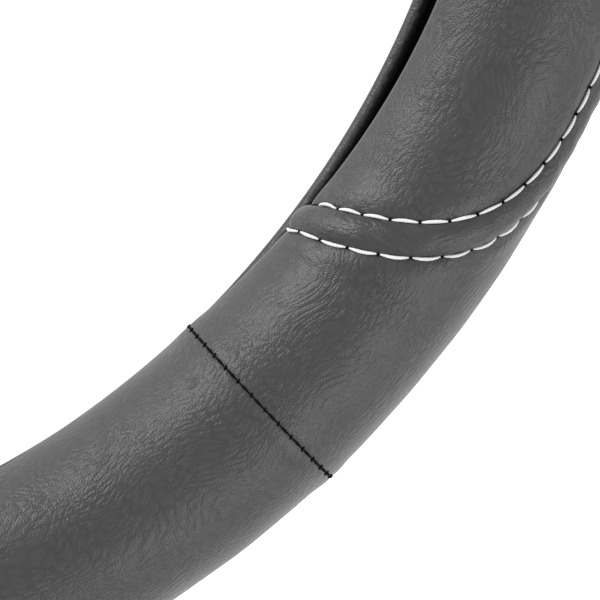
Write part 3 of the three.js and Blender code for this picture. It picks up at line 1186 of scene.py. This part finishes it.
class ThreadRow:
    """Collects stitches into one mesh of thread."""

    def __init__(self, form: CoverForm) -> None:
        """Starts an empty row."""
        self.form = form
        self.points: list[np.ndarray] = []
        self.maps: list[np.ndarray] = []

    def lay(
        self, stitch: Stitch, theta: np.ndarray, phi: np.ndarray, height: float, side: float = 0.0
    ) -> None:
        """Lays one stitch on a stretch of the row.

        Args:
            stitch: Its kind.
            theta: Places of the stretch, one for each step of the stitch.
            phi: The same.
            height: Height of the leather there over its plain outer face.
            side: 1 or -1 for the side to which the stitch bows.
        """
        form = self.form
        arch = np.sin(stitch.along() * math.pi)
        base = form.wrap(theta, phi, form.leather + height)
        out = unit(form.wrap(theta, phi, form.leather + height + 0.1 * MM) - base)
        aside = np.cross(out, unit(np.gradient(base, axis=0)))
        lift = -stitch.sink + (stitch.sink + stitch.rise) * arch**stitch.arch
        middle = base + out * lift[:, None] + aside * (side * stitch.bow * arch)[:, None]
        run = unit(np.gradient(middle, axis=0))
        up = unit(out - run * (out * run).sum(1, keepdims=True))
        across = np.cross(run, up)
        radius = stitch.radius * (1 - stitch.taper * (1 - arch**stitch.fullness))
        angle = (np.arange(stitch.sides) / stitch.sides * FULL_TURN)[:, None]
        ring = across[:, None] * np.cos(angle) + up[:, None] * np.sin(angle)
        tube = middle[:, None] + ring * radius[:, None, None]
        tube[..., 2] = np.maximum(tube[..., 2], 0.02 * MM)
        self.points.append(tube)
        self.maps.append(np.concatenate([[0], np.cumsum(np.linalg.norm(np.diff(middle, axis=0), axis=1))]))

    def build(self, name: str, finish: Material) -> Object:
        """Makes the mesh of all the stitches laid so far.

        Args:
            name: The object's name.
            finish: Its thread.

        Returns:
            The row of stitches.
        """
        vertices: list[tuple[float, float, float]] = []
        faces: list[tuple[int, ...]] = []
        coords: list[tuple[float, float]] = []
        for rings, length in zip(self.points, self.maps):
            first = len(vertices)
            vertices.extend(map(tuple, rings.reshape(-1, 3)))
            last = len(vertices)
            sides = rings.shape[1]
            for i, (low, high) in enumerate(zip(length, length[1:])):
                for j in range(sides):
                    a = first + i * sides + j
                    b = first + i * sides + (j + 1) % sides
                    faces.append((a, b, b + sides, a + sides))
                    before, after = j / sides, (j + 1) / sides
                    coords += [(low, before), (low, after), (high, after), (high, before)]
            faces.append(tuple(range(first, first + sides))[::-1])
            faces.append(tuple(range(last - sides, last)))
            coords += [(0.0, 0.0)] * (2 * sides)
        mesh = bpy.data.meshes.new(name)
        mesh.from_pydata(vertices, [], faces)
        layer = mesh.uv_layers.new(name="thread")
        layer.data.foreach_set("uv", np.array(coords, dtype=float).ravel())
        row = bpy.data.objects.new(name, mesh)
        bpy.context.collection.objects.link(row)
        face_outward(row)
        dress(row, finish)
        return row


@dataclass
class WhiteRow:
    """A row of white stitches beside the padded strip."""

    form: CoverForm
    path: StripPath
    row: RowLine
    stitch: Stitch = Stitch(radius=0.32 * MM, rise=0.16 * MM, bow=0.24 * MM, taper=0.7)
    stretch: tuple[float, float] = (0.015, 0.985)  # of the pitch, covered by a stitch
    # Painted shadow: a black loop at each hole stands in for the shade of the needle hole.
    hole_shadow: Stitch = Stitch(radius=0.27 * MM, rise=0.02 * MM, sink=0.35 * MM, steps=4)
    hole_shadow_reach: float = 0.3 * MM  # to each side of its hole
    hole_shadow_height: float = -0.1 * MM

    def build(self, name: str, finish: Material) -> Object:
        """Builds the row.

        Args:
            name: The object's name.
            finish: Its thread.

        Returns:
            The stitches.
        """
        laid = LaidRow.on(self.path, self.row)
        threads = ThreadRow(self.form)
        side = 1.0 if self.row.offset > 0 else -1.0
        share = mix(*self.stretch, self.stitch.along())
        for k in range(self.row.count):
            where = mix(laid.start, laid.end, (k + share) / self.row.count)
            threads.lay(self.stitch, *laid.at(where), 0.0, side)
        return threads.build(name, finish)

    def build_hole_shadows(self, name: str, finish: Material) -> Object:
        """Builds black thread loops at the holes, a painted shadow of the needle holes.

        Args:
            name: The object's name.
            finish: Their thread.

        Returns:
            The loops.
        """
        laid = LaidRow.on(self.path, self.row)
        hole_shadows = ThreadRow(self.form)
        along = mix(-self.hole_shadow_reach, self.hole_shadow_reach, self.hole_shadow.along())
        for k in range(self.row.count + 1):
            where = mix(laid.start, laid.end, k / self.row.count) + along
            hole_shadows.lay(self.hole_shadow, *laid.at(where), self.hole_shadow_height)
        return hole_shadows.build(name, finish)


@dataclass
class CrossSeam:
    """The black stitches of the seam between two quarters."""

    form: CoverForm
    relief: HideRelief
    height: float = 0.1 * MM
    dash: Stitch = Stitch(radius=0.25 * MM, rise=0.14 * MM, sink=0.3 * MM, steps=6)
    dash_span: tuple[float, float] = (0.17, 0.83)  # of the pitch
    tick: Stitch = Stitch(radius=0.2 * MM, rise=0.16 * MM, sink=0.3 * MM, steps=5)
    tick_reach: float = 0.62 * MM  # to each side of the seam
    tick_slant: float = 0.06  # of the pitch, to each side of its hole

    def build(self, name: str, seam: float, finish: Material) -> Object:
        """Builds the stitches of one seam, a dash along it and a tick over it at every hole.

        Args:
            name: The object's name.
            seam: Theta of the seam.
            finish: Its thread.

        Returns:
            The stitches.
        """
        form = self.form
        front, rear = (float(value) for value in form.lips(np.array(seam)))
        step = self.relief.seam_pitch / form.tube_radius
        thread = ThreadRow(form)
        dash = mix(*self.dash_span, self.dash.along()) * step
        over = mix(-self.tick_reach, self.tick_reach, self.tick.along()) / form.ring_radius
        slant = mix(-self.tick_slant, self.tick_slant, self.tick.along()) * step
        for k in range(int((front - rear) / step)):
            hole = front - (k + self.relief.seam_phase) * step
            thread.lay(self.dash, np.full_like(dash, seam), hole - dash, self.height)
            thread.lay(self.tick, seam + over, hole + slant, self.height)
        return thread.build(name, finish)


@dataclass
class Studio:
    """A pale floor, soft studio light and the camera."""

    form: CoverForm
    eye: tuple[float, float] = (-0.035, 0.060)
    eye_height: float = 0.800
    aim_radius: float = 0.16500
    aim_turn: float = math.radians(-39.09)
    roll: float = math.radians(2.78)
    focal: float = 4851.0  # in pixels of the frame
    frame: float = 600.0  # pixels across
    sensor: float = 36.0  # mm across
    lamp_aim: tuple[float, float] = (0.08, -0.065)
    lamp_distance: float = 1.0
    lamp_size: float = 0.6

    def build_camera(self) -> Object:
        """Places the camera over the lower right of the ring."""
        z = self.form.height
        eye = Vector((*self.eye, self.eye_height + z))
        aim_way = Vector((math.cos(self.aim_turn), math.sin(self.aim_turn), 0))
        aim = aim_way * self.aim_radius + Vector((0, 0, z))
        forward = (aim - eye).normalized()
        right = forward.cross(Vector((0, 1, 0))).normalized()
        up = right.cross(forward)
        turned_right = right * math.cos(self.roll) + up * math.sin(self.roll)
        turned_up = up * math.cos(self.roll) - right * math.sin(self.roll)
        matrix = Matrix((turned_right, turned_up, -forward)).transposed().to_4x4()
        matrix.translation = eye
        data = bpy.data.cameras.new("camera")
        data.sensor_width = self.sensor
        data.lens = self.focal / self.frame * self.sensor
        data.clip_start = 0.01
        camera = bpy.data.objects.new("camera", data)
        camera.matrix_world = matrix
        bpy.context.collection.objects.link(camera)
        bpy.context.scene.camera = camera
        return camera

    @staticmethod
    def seen(nodes: Nodes) -> NodeSocket:
        """Gives 1 to the rays that show the background: of the camera, of a gloss and through glass."""
        rays = nodes.add("ShaderNodeLightPath").outputs
        either = nodes.calc("MAXIMUM", rays["Is Camera Ray"], rays["Is Glossy Ray"])
        return nodes.calc("MAXIMUM", either, rays["Is Transmission Ray"])

    def build_floor(self) -> Object:
        """Lays a wide pale floor."""
        deselect()
        bpy.ops.mesh.primitive_plane_add(size=8.0)
        floor = bpy.context.object
        floor.name = "floor"
        nodes = MaterialNodes("pale matt floor")
        inputs = {
            "Base Color": linear("#f2f2f2"),
            "Roughness": 0.9,
            "Emission Color": WHITE,
            "Emission Strength": nodes.calc("MULTIPLY", self.seen(nodes), 0.85),
        }
        dress(floor, nodes.finished(inputs))
        return floor

    def add_lamp(self, name: str, azimuth: float, elevation: float, power: float) -> None:
        """Adds a soft square lamp that faces the middle of the view.

        Args:
            name: The lamp's name.
            azimuth: Direction of the lamp, in degrees.
            elevation: Its height, in degrees.
            power: Its power in watts.
        """
        a, e = math.radians(azimuth), math.radians(elevation)
        way = Vector((math.cos(a) * math.cos(e), math.sin(a) * math.cos(e), math.sin(e)))
        data = bpy.data.lights.new(name, "AREA")
        data.size = self.lamp_size
        data.energy = power
        lamp = bpy.data.objects.new(name, data)
        lamp.location = Vector((*self.lamp_aim, self.form.height)) + way * self.lamp_distance
        lamp.rotation_euler = way.to_track_quat("Z", "Y").to_euler()
        bpy.context.collection.objects.link(lamp)

    def light(self) -> None:
        """Lights the part at a plain level, mostly from low on the side of the ring's centre."""
        self.add_lamp("key", azimuth=141.0, elevation=6.0, power=12.5)
        self.add_lamp("fill", azimuth=-39.0, elevation=45.0, power=3.8)
        world = bpy.data.worlds.new("studio")
        world.use_nodes = True
        nodes = Nodes(world.node_tree)
        # The world is pure white where it is seen, and dimmer as a light on the part.
        inputs = {"Strength": nodes.carry(self.seen(nodes), new=(0.6, 1.0)), "Color": WHITE}
        background = nodes.add("ShaderNodeBackground", inputs)
        nodes.add("ShaderNodeOutputWorld", {"Surface": background.outputs[0]})
        bpy.context.scene.world = world


def ride_root(obj: Object, slot: str, *nodes: str) -> Object:
    """Puts a finished piece on the part's one body and logs it.

    Args:
        obj: The piece.
        slot: A material slot's name; not used.
        *nodes: The solids that it stands for.

    Returns:
        The same piece.
    """
    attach(obj, "root")
    if nodes:
        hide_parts(*nodes)
    log.info("%s: %d faces", obj.name, len(obj.data.polygons))
    return obj


def main() -> None:
    """Builds the cover piece by piece, and the studio round it."""
    logging.basicConfig(level=logging.INFO, format="%(message)s")
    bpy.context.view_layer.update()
    bpy.context.scene.view_settings.view_transform = "Standard"
    form = CoverForm()
    path = StripPath(form)
    relief = HideRelief(form)
    upper_row = RowLine(offset=-2.95 * MM, count=50, overrun=-1.84 * MM)
    lower_row = RowLine(offset=2.95 * MM, count=52, overrun=2.36 * MM)
    leather = LeatherFinish(Tone.PANEL, "grained synthetic leather").material()
    strip_leather = LeatherFinish(Tone.STRIP, "strip of synthetic leather").material()
    white = ThreadFinish("white sewing thread", "#fafaf8").material()
    black = ThreadFinish("black sewing thread", "#0a0a0a", roughness=0.85, sheen=0.0, gloss=0.1).material()
    rubber = RubberFinish().material()

    studio = Studio(form)
    studio.build_camera()
    studio.build_floor()
    studio.light()

    core = CoreRing(form).build("core_rubber", rubber)
    ride_root(core, "core", "core_right", "core_top", "core_left", "core_bottom")
    panel = PlainPanel(form, relief)
    for side, middle in (("bottom", -math.pi / 2), ("top", math.pi / 2)):
        piece = panel.build(f"{side}_leather", middle, leather)
        ride_root(piece, "leather", f"{side}_panel")

    grip = GripLeather(form, relief, path, upper_row, lower_row)
    upper = WhiteRow(form, path, upper_row)
    lower = WhiteRow(form, path, lower_row)
    right = {
        "inlay": grip.build_inlay("right_inlay_leather", leather),
        "back_panel": grip.build_back("right_back_leather", leather),
        "strip": PaddedStrip(form, path, upper_row, lower_row).build("right_strip_padded", strip_leather),
        "upper_row": upper.build("right_upper_stitches", white),
        "lower_row": lower.build("right_lower_stitches", white),
        # Black thread loops at the holes: painted shadow of the needle holes.
        "upper_knots": upper.build_hole_shadows("right_upper_knots", black),
        "lower_knots": lower.build_hole_shadows("right_lower_knots", black),
    }
    left = {
        key: turned_copy(piece, piece.name.replace("right", "left"), math.pi)
        for key, piece in right.items()
    }
    for side, pieces in (("right", right), ("left", left)):
        for key in ("inlay", "back_panel"):
            ride_root(pieces[key], "leather", f"{side}_{key}")
        ride_root(pieces["strip"], "strip", f"{side}_strip")
        for key in ("upper_row", "lower_row", "upper_knots", "lower_knots"):
            ride_root(pieces[key], "strip")

    for name, seam in (("lower_right", -45), ("upper_right", 45), ("upper_left", 135), ("lower_left", -135)):
        stitches = CrossSeam(form, relief).build(f"{name}_seam_stitches", math.radians(seam), black)
        ride_root(stitches, "leather")


if __name__ == "__main__":
    main()
